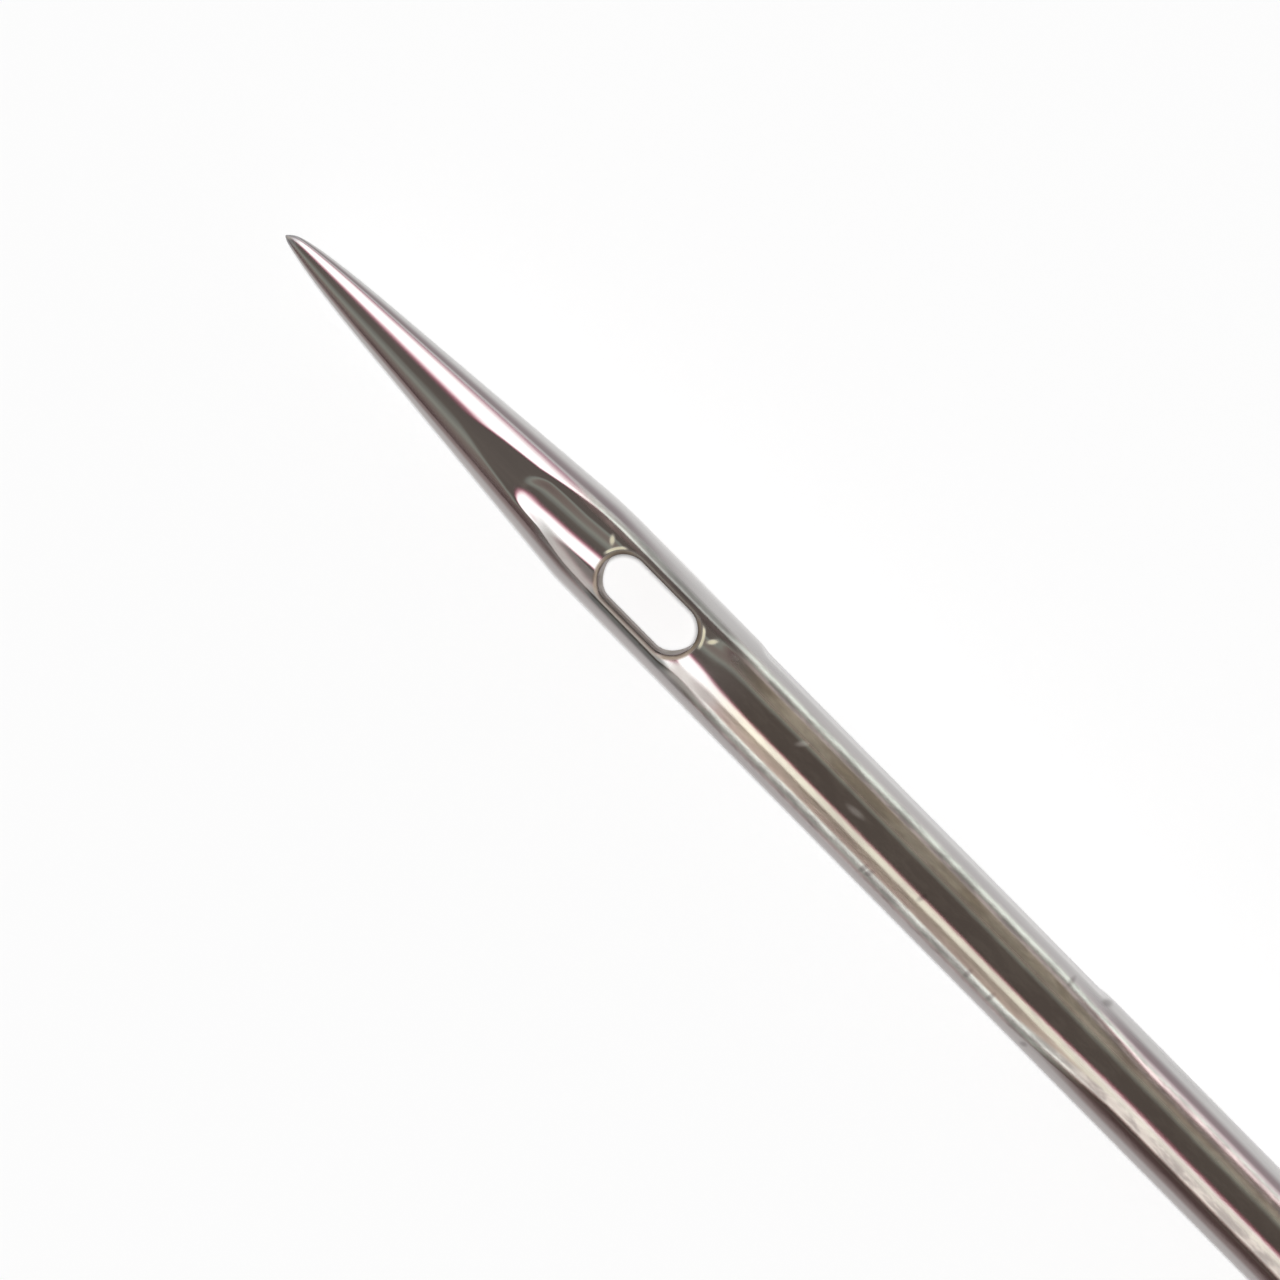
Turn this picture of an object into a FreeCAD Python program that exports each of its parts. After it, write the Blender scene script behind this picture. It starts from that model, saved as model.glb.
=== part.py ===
import FreeCAD
import Part
import Sketcher

import os

# A flat-shank needle for a household sewing machine: one piece of steel wire, in millimetres.
# It lies along X on the flat of its shank, long groove up, with its tip towards -X.
# The frame's origin is the middle of that flat.
#
# The body has axes of its own and is moved into place by its Placement: X runs along the needle
# from the tip, Y across it and Z towards the side of the long groove.

# Each size is a cell of the sheet. A station is a distance from the tip.
SIZES = [
    ("needle_length", 38.5, "butt to tip"),
    ("shank_diameter", 2.02, "round part of the shank"),
    ("shank_across_flat", 1.6, "flat to the opposite side"),
    ("shank_length", 10.4, "butt to the shoulder"),
    ("butt_bevel", 0.2, "bevel round the butt"),
    ("shoulder_length", 2.4, "taper from shank to blade"),
    ("shoulder_blend", 2.0, "hollow curve from the shoulder into the blade"),
    ("shank_blend", 0.6, "round edge between shank and shoulder"),
    ("blade_diameter", 0.8, "needle of size 80"),
    ("point_length", 3.44, "tip to the full blade"),
    ("ogive_length", 0.96, "curved end of the point"),
    ("tip_radius", 0.05, "small ball at the very tip"),
    ("eye_station", 4.14, "middle of the eye"),
    ("eye_length", 0.96, "end to end"),
    ("eye_width", 0.42, "across the opening"),
    ("groove_width", 0.52, "across the long groove"),
    ("groove_depth", 0.24, "below the front of the blade"),
    ("groove_corner", 0.16, "rounding along both sides of its floor"),
    ("groove_station", 4.9, "its end near the eye"),
    ("groove_margin", 0.4, "plain blade between its other end and the shoulder"),
    ("groove_runout", 1.6, "radius that its floor rises by at that end"),
    ("throat_radius", 0.25, "round groove through the eye and down the point"),
    ("throat_depth", 0.25, "below the front of the blade"),
    ("throat_station", 2.4, "its end in the point"),
    ("throat_slope", 1.2, "its slope down to full depth"),
    ("throat_bend", 2.0, "curve from the slope into its level part"),
    ("throat_length", 2.8, "end to end"),
    ("scarf_station", 4.88, "its end near the eye"),
    ("scarf_length", 4.0, "along the back"),
    ("scarf_depth", 0.27, "below the back of the blade"),
    ("scarf_radius", 1.1, "hollow end near the eye"),
    ("scarf_slope", 1.6, "slope out to the full blade"),
    ("back_groove_radius", 0.2, "round short groove on the back"),
    ("back_groove_depth", 0.07, "below the back of the blade"),
    ("relief_depth", 0.026, "shallow flat along one side of the scarf"),
    ("relief_ramp", 0.24, "slope at each end of that flat"),
    ("overrun", 0.1, "how far each cut runs past the steel"),
]

# Sizes worked out from those of the sheet.
SHANK_R = "sizes.shank_diameter / 2"
BLADE_R = "sizes.blade_diameter / 2"
SHOULDER_X = "sizes.needle_length - sizes.shank_length"
BLADE_END_X = f"{SHOULDER_X} - sizes.shoulder_length"
FLAT_Z = f"-(sizes.shank_across_flat - {SHANK_R})"
# The straight taper starts as wide as a parabola from the tip whose tangent it is.
OGIVE_R = "sizes.blade_diameter * sizes.ogive_length / (sizes.ogive_length + sizes.point_length)"
TAPER = f"(({BLADE_R} - {OGIVE_R}) / (sizes.point_length - sizes.ogive_length))"
OUTSIDE = f"({BLADE_R} + sizes.overrun)"
FLOOR_Z = f"({BLADE_R} - sizes.groove_depth)"

doc = FreeCAD.newDocument("sewing_machine_needle")
sheet = doc.addObject("Spreadsheet::Sheet", "sizes")
for row, (alias, value, note) in enumerate(SIZES, start=1):
    sheet.set(f"A{row}", alias)
    sheet.set(f"B{row}", str(value))
    sheet.set(f"C{row}", note)
    sheet.setAlias(f"B{row}", alias)
doc.recompute()

body = doc.addObject("PartDesign::Body", "needle")
body.Label = "needle"


def number(expression):
    """The value that an expression has with the sheet's sizes."""
    return float(body.evalExpression(expression))


def spot(across, up):
    return FreeCAD.Vector(number(across), number(up), 0)


def new_sketch(name, role, offset=None):
    """A sketch on one of the body's planes, or a distance along that plane's normal."""
    sketch = body.newObject("Sketcher::SketchObject", name)
    plane = next(item for item in body.Origin.OriginFeatures if item.Role == role)
    sketch.AttachmentSupport = [(plane, "")]
    sketch.MapMode = "FlatFace"
    if offset:
        sketch.setExpression("AttachmentOffset.Base.z", offset)
    return sketch


def constrain(sketch, kind, *ends_and_expression):
    """A dimension of the sketch, bound to an expression."""
    *ends, expression = ends_and_expression
    index = sketch.addConstraint(Sketcher.Constraint(kind, *ends, number(expression)))
    sketch.setExpression(f"Constraints[{index}]", expression)


def place(sketch, edge, end, across, up):
    """Fix an edge's start (1), finish (2) or centre (3) where two expressions put it."""
    constrain(sketch, "DistanceX", -1, 1, edge, end, across)
    constrain(sketch, "DistanceY", -1, 1, edge, end, up)


def meet(sketch, first, first_end, second, second_end):
    sketch.addConstraint(Sketcher.Constraint("Coincident", first, first_end, second, second_end))


def join(sketch, first, second):
    """The finish of one edge is the start of the next."""
    meet(sketch, first, 2, second, 1)


def add_lines(sketch, corners, closed=False):
    """Straight edges through the corners, each a pair of expressions."""
    if closed:
        corners = corners + corners[:1]
    edges = []
    for start, finish in zip(corners, corners[1:]):
        edge = sketch.addGeometry(Part.LineSegment(spot(*start), spot(*finish)), False)
        if edges:
            join(sketch, edges[-1], edge)
        else:
            place(sketch, edge, 1, *start)
        if closed and len(edges) == len(corners) - 2:
            join(sketch, edge, edges[0])
        else:
            place(sketch, edge, 2, *finish)
        edges.append(edge)
    return edges


def arc_between(centre, radius, start, finish):
    """An arc that runs anticlockwise from start to finish."""
    circle = Part.Circle(centre, FreeCAD.Vector(0, 0, 1), radius)
    return Part.ArcOfCircle(circle, circle.parameter(start), circle.parameter(finish))


def add_arc(sketch, centre, radius, start, finish):
    """An arc whose ends its neighbours hold, all given as expressions."""
    arc = arc_between(spot(*centre), number(radius), spot(*start), spot(*finish))
    return sketch.addGeometry(arc, False)


def finish_feature(feature, before, sign):
    """Recompute the body, and see that the feature adds (1) or removes (-1) steel."""
    body.Tip = feature
    doc.recompute()
    if (feature.Shape.Volume - before) * sign <= 0:
        raise RuntimeError(f"{feature.Name} leaves the volume as it was")
    return feature


def cut_through(name, sketch):
    """A cut that runs through the needle, both ways from its sketch."""
    doc.recompute()
    before = body.Shape.Volume
    feature = body.newObject("PartDesign::Pocket", name)
    feature.Profile = sketch
    feature.SideType = "Symmetric"
    feature.Type = "ThroughAll"
    return finish_feature(feature, before, -1)


def cut_along(name, profile, path):
    """A cut that carries a section along a path."""
    doc.recompute()
    before = body.Shape.Volume
    feature = body.newObject("PartDesign::SubtractivePipe", name)
    feature.Profile = profile
    feature.Spine = path
    return finish_feature(feature, before, -1)


def turned_blank():
    """Butt, shank, shoulder, blade and point, turned about the X axis."""
    angle = f"atan(({SHANK_R} - {BLADE_R}) / sizes.shoulder_length)"
    hollow = f"(sizes.shoulder_blend * tan({angle} / 2))"
    crest = f"(sizes.shank_blend * tan({angle} / 2))"
    hollow_start = (f"{BLADE_END_X} - {hollow}", BLADE_R)
    hollow_end = (f"{BLADE_END_X} + {hollow} * cos({angle})", f"{BLADE_R} + {hollow} * sin({angle})")
    crest_start = (f"{SHOULDER_X} - {crest} * cos({angle})", f"{SHANK_R} - {crest} * sin({angle})")
    crest_end = (f"{SHOULDER_X} + {crest}", SHANK_R)
    ogive_end = ("sizes.ogive_length", OGIVE_R)

    sketch = new_sketch("blank_profile", "XZ_Plane")
    blade = add_lines(sketch, [ogive_end, ("sizes.point_length", BLADE_R), hollow_start])
    shoulder = add_lines(sketch, [hollow_end, crest_start])
    shank = add_lines(sketch, [
        crest_end,
        ("sizes.needle_length - sizes.butt_bevel", SHANK_R),
        ("sizes.needle_length", f"{SHANK_R} - sizes.butt_bevel"),
        ("sizes.needle_length", "0"),
        ("0", "0"),
    ])
    hollow_centre = (hollow_start[0], f"{BLADE_R} + sizes.shoulder_blend")
    crest_centre = (crest_end[0], f"{SHANK_R} - sizes.shank_blend")
    hollow_arc = add_arc(sketch, hollow_centre, "sizes.shoulder_blend", hollow_start, hollow_end)
    crest_arc = add_arc(sketch, crest_centre, "sizes.shank_blend", crest_end, crest_start)
    join(sketch, blade[-1], hollow_arc)
    join(sketch, hollow_arc, shoulder[0])
    meet(sketch, shoulder[0], 2, crest_arc, 2)
    meet(sketch, crest_arc, 1, shank[0], 1)
    constrain(sketch, "Radius", hollow_arc, "sizes.shoulder_blend")
    constrain(sketch, "Radius", crest_arc, "sizes.shank_blend")

    # The ogive is an arc that touches the straight taper and the small ball at the tip.
    end = spot(*ogive_end)
    ball_centre = FreeCAD.Vector(number("sizes.tip_radius"), 0, 0)
    inward = FreeCAD.Vector(number(TAPER), -1, 0).normalize()
    reach = end - ball_centre
    gap = -2 * (reach.dot(inward) + ball_centre.x)
    ogive_radius = (reach.dot(reach) - ball_centre.x**2) / gap
    ogive_centre = end + inward * ogive_radius
    touch = ogive_centre + (ball_centre - ogive_centre).normalize() * ogive_radius
    ogive = sketch.addGeometry(arc_between(ogive_centre, ogive_radius, end, touch), False)
    tip = FreeCAD.Vector(0, 0, 0)
    ball = sketch.addGeometry(arc_between(ball_centre, ball_centre.x, touch, tip), False)
    meet(sketch, shank[-1], 2, ball, 2)
    sketch.addConstraint(Sketcher.Constraint("Tangent", ogive, 1, blade[0], 1))
    sketch.addConstraint(Sketcher.Constraint("Tangent", ogive, 2, ball, 1))
    sketch.addConstraint(Sketcher.Constraint("PointOnObject", ball, 3, -1))
    constrain(sketch, "Radius", ball, "sizes.tip_radius")

    feature = body.newObject("PartDesign::Revolution", "turned_blank")
    feature.Profile = sketch
    feature.ReferenceAxis = (sketch, ["H_Axis"])
    feature.Angle = 360
    finish_feature(feature, 0, 1)


def shank_flat():
    """The flat that seats against the clamp, from the butt to where it runs out on the shoulder."""
    low = f"-{SHANK_R} - sizes.overrun"
    past_butt = "sizes.needle_length + sizes.overrun"
    sketch = new_sketch("flat_profile", "XZ_Plane")
    corners = [(BLADE_END_X, low), (past_butt, low), (past_butt, FLAT_Z), (BLADE_END_X, FLAT_Z)]
    add_lines(sketch, corners, closed=True)
    cut_through("shank_flat", sketch)


def long_groove():
    """The thread's groove down the front, with a rounded floor and a rise at the shoulder."""
    side = "sizes.groove_width / 2"
    floor_side = "(sizes.groove_width / 2 - sizes.groove_corner)"
    corner_z = f"({FLOOR_Z} + sizes.groove_corner)"
    section = new_sketch("groove_section", "YZ_Plane", "sizes.groove_station")
    top = add_lines(section, [
        (side, corner_z),
        (side, OUTSIDE),
        (f"-{side}", OUTSIDE),
        (f"-{side}", corner_z),
    ])
    left = add_arc(section, (f"-{floor_side}", corner_z), "sizes.groove_corner",
                   (f"-{side}", corner_z), (f"-{floor_side}", FLOOR_Z))
    floor = add_lines(section, [(f"-{floor_side}", FLOOR_Z), (floor_side, FLOOR_Z)])[0]
    right = add_arc(section, (floor_side, corner_z), "sizes.groove_corner",
                    (floor_side, FLOOR_Z), (side, corner_z))
    for first, second in ((top[-1], left), (left, floor), (floor, right), (right, top[0])):
        join(section, first, second)
    for arc in (left, right):
        constrain(section, "Radius", arc, "sizes.groove_corner")

    depth = "sizes.groove_depth"
    past = "(sizes.groove_depth + sizes.overrun)"
    rise = f"sqrt(2 * sizes.groove_runout * {depth} - {depth}^2)"
    full_rise = f"sqrt(2 * sizes.groove_runout * {past} - {past}^2)"
    level_end = f"({BLADE_END_X} - sizes.groove_margin - {rise})"
    path = new_sketch("groove_path", "XZ_Plane")
    level = add_lines(path, [("sizes.groove_station", FLOOR_Z), (level_end, FLOOR_Z)])[0]
    centre = (level_end, f"{FLOOR_Z} + sizes.groove_runout")
    path_end = (f"{level_end} + {full_rise}", OUTSIDE)
    runout = add_arc(path, centre, "sizes.groove_runout", (level_end, FLOOR_Z), path_end)
    join(path, level, runout)
    place(path, runout, 3, *centre)
    constrain(path, "DistanceY", -1, 1, runout, 2, OUTSIDE)
    cut_along("long_groove", section, path)


def throat():
    """The round groove that leads the thread through the eye and runs out in the point."""
    floor_z = f"({BLADE_R} - sizes.throat_depth)"
    centre_z = f"({floor_z} + sizes.throat_radius)"
    stop = "sizes.throat_station + sizes.throat_length"
    section = new_sketch("throat_section", "YZ_Plane", stop)
    circle = Part.Circle(spot("0", centre_z), FreeCAD.Vector(0, 0, 1), number("sizes.throat_radius"))
    ring = section.addGeometry(circle, False)
    place(section, ring, 3, "0", centre_z)
    constrain(section, "Radius", ring, "sizes.throat_radius")

    point_r = f"({BLADE_R} - {TAPER} * (sizes.point_length - sizes.throat_station))"
    rise = f"({point_r} - {floor_z})"
    angle = f"atan({rise} / sizes.throat_slope)"
    tangent = f"sizes.throat_bend * tan({angle} / 2)"
    corner_x = "(sizes.throat_station + sizes.throat_slope)"
    level_end = (f"{corner_x} + {tangent}", centre_z)
    slope_start = (f"{corner_x} - {tangent} * cos({angle})", f"{centre_z} + {tangent} * sin({angle})")
    slope_end = ("sizes.throat_station - sizes.throat_slope", f"{centre_z} + 2 * {rise}")
    path = new_sketch("throat_path", "XZ_Plane")
    level = add_lines(path, [(stop, centre_z), level_end])[0]
    slope = add_lines(path, [slope_start, slope_end])[0]
    centre = (level_end[0], f"{centre_z} + sizes.throat_bend")
    bend = add_arc(path, centre, "sizes.throat_bend", slope_start, level_end)
    meet(path, level, 2, bend, 2)
    meet(path, bend, 1, slope, 1)
    constrain(path, "Radius", bend, "sizes.throat_bend")
    cut_along("throat", section, path)


def scarf():
    """The hollow that clears the hook, on the back above the eye."""
    floor_z = f"(sizes.scarf_depth - {BLADE_R})"
    below = f"-{OUTSIDE}"
    past = "(sizes.scarf_depth + sizes.overrun)"
    hollow = "sqrt(2 * sizes.scarf_radius * sizes.scarf_depth - sizes.scarf_depth^2)"
    full_hollow = f"sqrt(2 * sizes.scarf_radius * {past} - {past}^2)"
    hollow_end = f"(sizes.scarf_station + {hollow})"
    stop = "(sizes.scarf_station + sizes.scarf_length)"
    extra = "sizes.overrun * sizes.scarf_slope / sizes.scarf_depth"
    sketch = new_sketch("scarf_profile", "XZ_Plane")
    start = (f"{hollow_end} - {full_hollow}", below)
    lines = add_lines(sketch, [
        (hollow_end, floor_z),
        (f"{stop} - sizes.scarf_slope", floor_z),
        (f"{stop} + {extra}", below),
        start,
    ])
    centre = (hollow_end, f"{floor_z} - sizes.scarf_radius")
    arc = add_arc(sketch, centre, "sizes.scarf_radius", (hollow_end, floor_z), start)
    meet(sketch, lines[-1], 2, arc, 2)
    meet(sketch, arc, 1, lines[0], 1)
    constrain(sketch, "Radius", arc, "sizes.scarf_radius")
    cut_through("scarf", sketch)


def back_groove():
    """The short round groove on the back, from the scarf through the eye into the point."""
    centre_z = f"-({BLADE_R} - sizes.back_groove_depth + sizes.back_groove_radius)"
    sketch = new_sketch("back_groove_section", "YZ_Plane")
    radius = number("sizes.back_groove_radius")
    circle = Part.Circle(spot("0", centre_z), FreeCAD.Vector(0, 0, 1), radius)
    ring = sketch.addGeometry(circle, False)
    place(sketch, ring, 3, "0", centre_z)
    constrain(sketch, "Radius", ring, "sizes.back_groove_radius")
    doc.recompute()
    before = body.Shape.Volume
    feature = body.newObject("PartDesign::Pocket", "back_groove")
    feature.Profile = sketch
    feature.Reversed = True
    feature.setExpression("Length", "sizes.scarf_station + sizes.scarf_radius / 2")
    finish_feature(feature, before, -1)


def eye():
    """The opening for the thread, straight through from front to back."""
    half = "sizes.eye_width / 2"
    reach = "(sizes.eye_length - sizes.eye_width) / 2"
    near_x = f"(sizes.eye_station - {reach})"
    far_x = f"(sizes.eye_station + {reach})"
    sketch = new_sketch("eye_profile", "XY_Plane")
    low = add_lines(sketch, [(near_x, f"-{half}"), (far_x, f"-{half}")])[0]
    high = add_lines(sketch, [(far_x, half), (near_x, half)])[0]
    far = add_arc(sketch, (far_x, "0"), half, (far_x, f"-{half}"), (far_x, half))
    near = add_arc(sketch, (near_x, "0"), half, (near_x, half), (near_x, f"-{half}"))
    for first, second in ((low, far), (far, high), (high, near), (near, low)):
        join(sketch, first, second)
    constrain(sketch, "DistanceX", -1, 1, far, 3, far_x)
    constrain(sketch, "DistanceX", -1, 1, near, 3, near_x)
    cut_through("eye", sketch)


def side_relief():
    """The shallow flat that was ground along one side of the blade, beside the scarf."""
    flat_y = f"{BLADE_R} - sizes.relief_depth"
    start = "sizes.scarf_station"
    stop = "(sizes.scarf_station + sizes.scarf_length + sizes.relief_ramp)"
    extra = "sizes.relief_ramp * sizes.overrun / sizes.relief_depth"
    sketch = new_sketch("relief_profile", "XY_Plane")
    add_lines(sketch, [
        (f"{start} - {extra}", OUTSIDE),
        (f"{start} + sizes.relief_ramp", flat_y),
        (f"{stop} - sizes.relief_ramp", flat_y),
        (f"{stop} + {extra}", OUTSIDE),
    ], closed=True)
    cut_through("side_relief", sketch)


turned_blank()
shank_flat()
long_groove()
throat()
scarf()
back_groove()
eye()
side_relief()
body.setExpression("Placement.Base.x", "sizes.shank_length / 2 - sizes.needle_length")
body.setExpression("Placement.Base.z", f"-({FLAT_Z})")
doc.recompute()

for item in doc.Objects:
    if "Invalid" in item.State or "Error" in item.State:
        raise RuntimeError(f"{item.Name} is {item.State}")
if body.Shape.isNull() or not body.Shape.isValid() or len(body.Shape.Solids) != 1:
    raise RuntimeError("the needle isn't one valid solid")

os.makedirs("parts", exist_ok=True)
body.Shape.exportStep(f"parts/{body.Label}.step")
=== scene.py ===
"""Looks for the sewing machine needle: a fine mesh of the whole needle over its CAD solid, plated
steel, a pale floor, a soft studio around it and the photograph's camera."""

import math

import bpy
import numpy as np
from mathutils import Matrix


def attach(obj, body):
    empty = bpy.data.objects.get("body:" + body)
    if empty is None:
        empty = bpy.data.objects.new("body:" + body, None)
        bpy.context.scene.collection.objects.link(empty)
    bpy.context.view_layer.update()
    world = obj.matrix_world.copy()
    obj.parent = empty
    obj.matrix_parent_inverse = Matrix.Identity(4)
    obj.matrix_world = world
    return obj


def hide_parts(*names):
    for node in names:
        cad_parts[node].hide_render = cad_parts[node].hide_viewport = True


# Sizes in millimetres, as in the CAD. A station is a distance from the tip, "across" is from the
# needle's axis towards its high side at +Y, and heights are from the axis.
MM = 0.001
MM_PER_M = 1000.0
TIP_X = -33.3
AXIS_Z = 0.59

NEEDLE_LENGTH = 38.5
BLADE_R = 0.4
SHANK_R = 1.009
SHANK_START = 28.1
BUTT_BEVEL = 0.2
FLAT_HEIGHT = -0.59
FLAT_EDGE = 0.02
CONE_START = 25.7
CONE_SLOPE = (SHANK_R - BLADE_R) / (SHANK_START - CONE_START)
CONE_BLEND = 0.25
SHANK_BLEND = 0.075

# The point: a short ogive and a straight taper, blended into the blade. The tip has a small nub
# that leans to the low side.
POINT_END = 3.44
POINT_SETTLED = POINT_END + 1
OGIVE_END = 0.96
OGIVE_R = 0.18
OGIVE_FACTOR = OGIVE_R / math.sqrt(OGIVE_END)
TAPER = (BLADE_R - OGIVE_R) / (POINT_END - OGIVE_END)
POINT_BLEND_LOW = 0.06
POINT_BLEND_HIGH = 0.2
NUB_PINCH = 0.3
NUB_LENGTH = 0.03
BURR_SHIFT = -0.02
BURR_LENGTH = 0.07
BURR_POWER = 1.2
BURR_TIP = 1.05

EYE_STATION = 4.14
EYE_HALF_LENGTH = 0.48
EYE_HALF_WIDTH = 0.21
EYE_STRAIGHT = EYE_HALF_LENGTH - EYE_HALF_WIDTH
EYE_FLARE = 0.038
EYE_RIM = 0.036
# Narrower than this, the eye counts as closed.
EYE_CLOSED = 0.0001

# The throat: a flat land along the point and past the eye, rising on the low side, with a shallow
# round bowl in it. The bowl begins at one station on the low side and another on the high side.
LAND_STATIONS = (1.9, 2.2, 2.4, 2.76, 3.04, 3.3, 6.0)
LAND_HEIGHTS = (0.272, 0.284, 0.289, 0.3, 0.29, 0.283, 0.283)
LAND_EDGE_STATIONS = (2.2, 2.8, 3.2, 4.0)
LAND_EDGES = (0.006, 0.01, 0.014, 0.014)
RISE_STATIONS = (2.8, 3.0, 3.36, 3.64, 4.5, 4.72)
RISE_STARTS = (0.1, 0.12, 0.175, 0.205, 0.22, 0.12)
RISE_SLOPES = (0.0, 0.6, 0.7, 0.7, 0.7, 0.4)
RISE_BEND = 0.045
BOWL_FLOOR = 0.235
BOWL_R = 0.2
BOWL_ROUND = 0.17
BOWL_SLOPE = 1.6
BOWL_STARTS = (3.0, 2.94)
BOWL_RUN_INS = (0.55, 0.72)
BOWL_MIDDLE = 0.06
BOWL_STATIONS = (2.76, 2.9, 3.05, 3.3, 3.62, 4.6)
BOWL_SHIFTS = (-0.035, -0.015, 0.0, 0.015, 0.045, 0.01)
BOWL_EDGE = 0.03
THROAT_END = (4.6, 5.05)

# The long groove: stations, and there the height of its floor, half its flat, how far it lies to
# the high side, the radii of its corners and its rounded lips, and the slant of its walls.
HOLLOW_STATIONS = (4.6, 5.3, 8.5, 9.6)
HOLLOW_FLOORS = (0.16, 0.14, 0.14, 0.264)
HOLLOW_FLATS = (0.03, 0.06, 0.06, 0.035)
HOLLOW_SHIFTS = (0.02, 0.0, 0.0, 0.03)
HOLLOW_CORNERS = (0.21, 0.14, 0.14, 0.2)
HOLLOW_LIPS = (0.07, 0.06, 0.06, 0.05)
HOLLOW_WALLS = (46, 46, 46, 40)
RUNOUT_START = 24.46
RUNOUT_R = 1.6
RUNOUT_ROUND = 0.9

# Beyond the first of these stations the groove gets shallower, and the looks change with it.
SHALLOW = (8.6, 9.5)

SCARF_START = 4.88
SCARF_HOLLOW_R = 1.1
SCARF_HOLLOW_REACH = SCARF_HOLLOW_R * 0.99
SCARF_FLOOR = -0.13
SCARF_DEPTH = SCARF_FLOOR + BLADE_R
SCARF_SLOPE_START = 7.28
SCARF_END = 8.88
SCARF_MARGIN = 0.3
BACK_GROOVE_START = 2.0
BACK_GROOVE_R = 0.2
BACK_GROOVE_ROUND = BACK_GROOVE_R * 0.98
BACK_GROOVE_SLOPE = 8
BACK_GROOVE_TOP = -0.33
BACK_EDGE = 0.02
# A height below the whole needle, where a cut of the back doesn't reach.
NO_CUT = -9

RELIEF_ACROSS = 0.374
RELIEF_START = 5.12
RELIEF_END = 8.88
RELIEF_RAMP = 0.24
RELIEF_RISE = 0.06
RELIEF_EDGE = 0.012

# Mesh rows: close together where the photograph shows the needle and where its form turns. Each
# span has a start, an end and a step. Along the eye the rows follow its round ends.
TIP_ROWS = 19
TIP_STEP = 0.0011
ROW_SPANS = (
    (0.42, 10.9, 0.03),
    (10.95, 24.3, 0.3),
    (24.3, 25.44, 0.04),
    (25.45, 28.25, 0.07),
    (28.3, NEEDLE_LENGTH - BUTT_BEVEL - 0.1, 0.5),
)
EYE_ARC_ROWS = 18
EYE_RIM_ROWS = 7
EYE_RIM_GAP = 0.005
EYE_ARC_GAP = 0.01

# Mesh columns of the front and the back on each side. They are picked out of many points, closer
# together where the section turns: a turn of one radian counts like this weight in length.
FRONT_COLUMNS = 54
BACK_COLUMNS = 22
EYE_WALL_STEPS = 8
DENSE = 700
DENSE_POWER = 1.3
TURN_WEIGHT = 0.09

# Where the crests of the lips lie on both sides, how wide they look and where they begin.
CREST_STATIONS = (3.0, 3.4, 3.8, 5.3, 8.5, 9.6)
CREST_HIGH = (0.24, 0.265, 0.285, 0.275, 0.275, 0.235)
CREST_LOW = (0.15, 0.205, 0.25, 0.275, 0.275, 0.15)
CREST_WIDTH = 0.055
CREST_PEAK = 1.5
CREST_BEGINS = (2.95, 3.3)

# Painted shade on the round sides: darker bands that stand in for their darker reflections, in
# degrees from the top: where each fades in and out along the deep groove, and then along the
# shallow one. Between two stations each gets weaker by a share. The low side is at least as dark
# as its painted shades, which are an edge and an amount.
BAND_HIGH = ((50, 54), (57, 74))
BAND_HIGH_FAR = ((46, 51), (55, 67))
BAND_HIGH_WEAKER = (3.4, 4.6, 0.85)
BAND_LOW = ((34, 41), (44, 60))
BAND_LOW_FAR = ((19, 32), (46, 60))
BAND_LOW_WEAKER = (4.2, 5.2, 0.5)
LOW_SIDE_PAINTED_SHADES = (((36, 50), 0.45), ((55, 75), 0.2))

# Painted light beside the throat: lighter, duller patches that stand in for reflections of the
# land. Where each begins and ends along the needle, and its inner edge. Both have the same outer
# edge.
PAINTED_LIGHT_PATCHES = (
    ((4.55, 4.68), (4.95, 5.15), (-0.13, -0.17)),
    ((3.0, 3.35), (3.66, 3.8), (-0.11, -0.14)),
)
PAINTED_LIGHT_OUTER = (-0.3, -0.25)

# A point is in the hollow when it lies this near the middle and this far below the round blank.
# It is on the eye's wall when it lies this near the eye's edge, between these heights.
HOLLOW_WIDTH = 0.34
HOLLOW_DEPTH = (0.01, 0.04)
EYE_WALL_NEAR = (0.04, 0.02)
EYE_WALL_HEIGHTS = (-0.36, 0.26)
SHARP_ANGLE = math.radians(40)

# Tones of the material. Those in pairs vary between their two ends.
STEEL = ((0.49, 0.48, 0.475), (0.53, 0.52, 0.51))
GROOVE_FLOOR = ((0.42, 0.39, 0.365), (0.45, 0.425, 0.395))
# Painted highlight colour on the groove's low wall, where the highlight falls, brighter near the eye.
LOW_WALL_PAINTED_HIGHLIGHT_TINT = ((0.33, 0.315, 0.255), (0.39, 0.37, 0.30))
LOW_WALL_PAINTED_HIGHLIGHT_BY_EYE = (0.52, 0.49, 0.4)
# Painted reflection on the groove's high wall.
HIGH_WALL_PAINTED_REFLECTION = ((0.66, 0.58, 0.45), (0.9, 0.83, 0.68))
# Painted highlight tints of the lips.
HIGH_LIP_PAINTED_TINT = ((0.62, 0.54, 0.52), (0.53, 0.58, 0.52))
LOW_LIP_PAINTED_TINT = ((0.58, 0.5, 0.49), (0.55, 0.59, 0.54))
LOW_LIP_FAR_PAINTED_TINT = (0.5, 0.48, 0.43)
# Painted shade on the lips beside the eye.
LIP_PAINTED_SHADE_BY_EYE = (0.07, 0.07, 0.07)
LIP_NICK = (0.1, 0.1, 0.1)
# Tones of the painted light patches, the darker one nearer the point.
PAINTED_LIGHT_TONES = ((0.42, 0.38, 0.37), (0.56, 0.56, 0.52))
PAINTED_LIGHT_DARKER = (0.62, 0.6, 0.6)
# Tones of the painted shade on the low and the high round side.
PAINTED_SIDE_SHADE_TONES = ((0.46, 0.36, 0.35), (0.51, 0.44, 0.46))
GROOVE_SPECK = (0.2, 0.17, 0.17)
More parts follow.
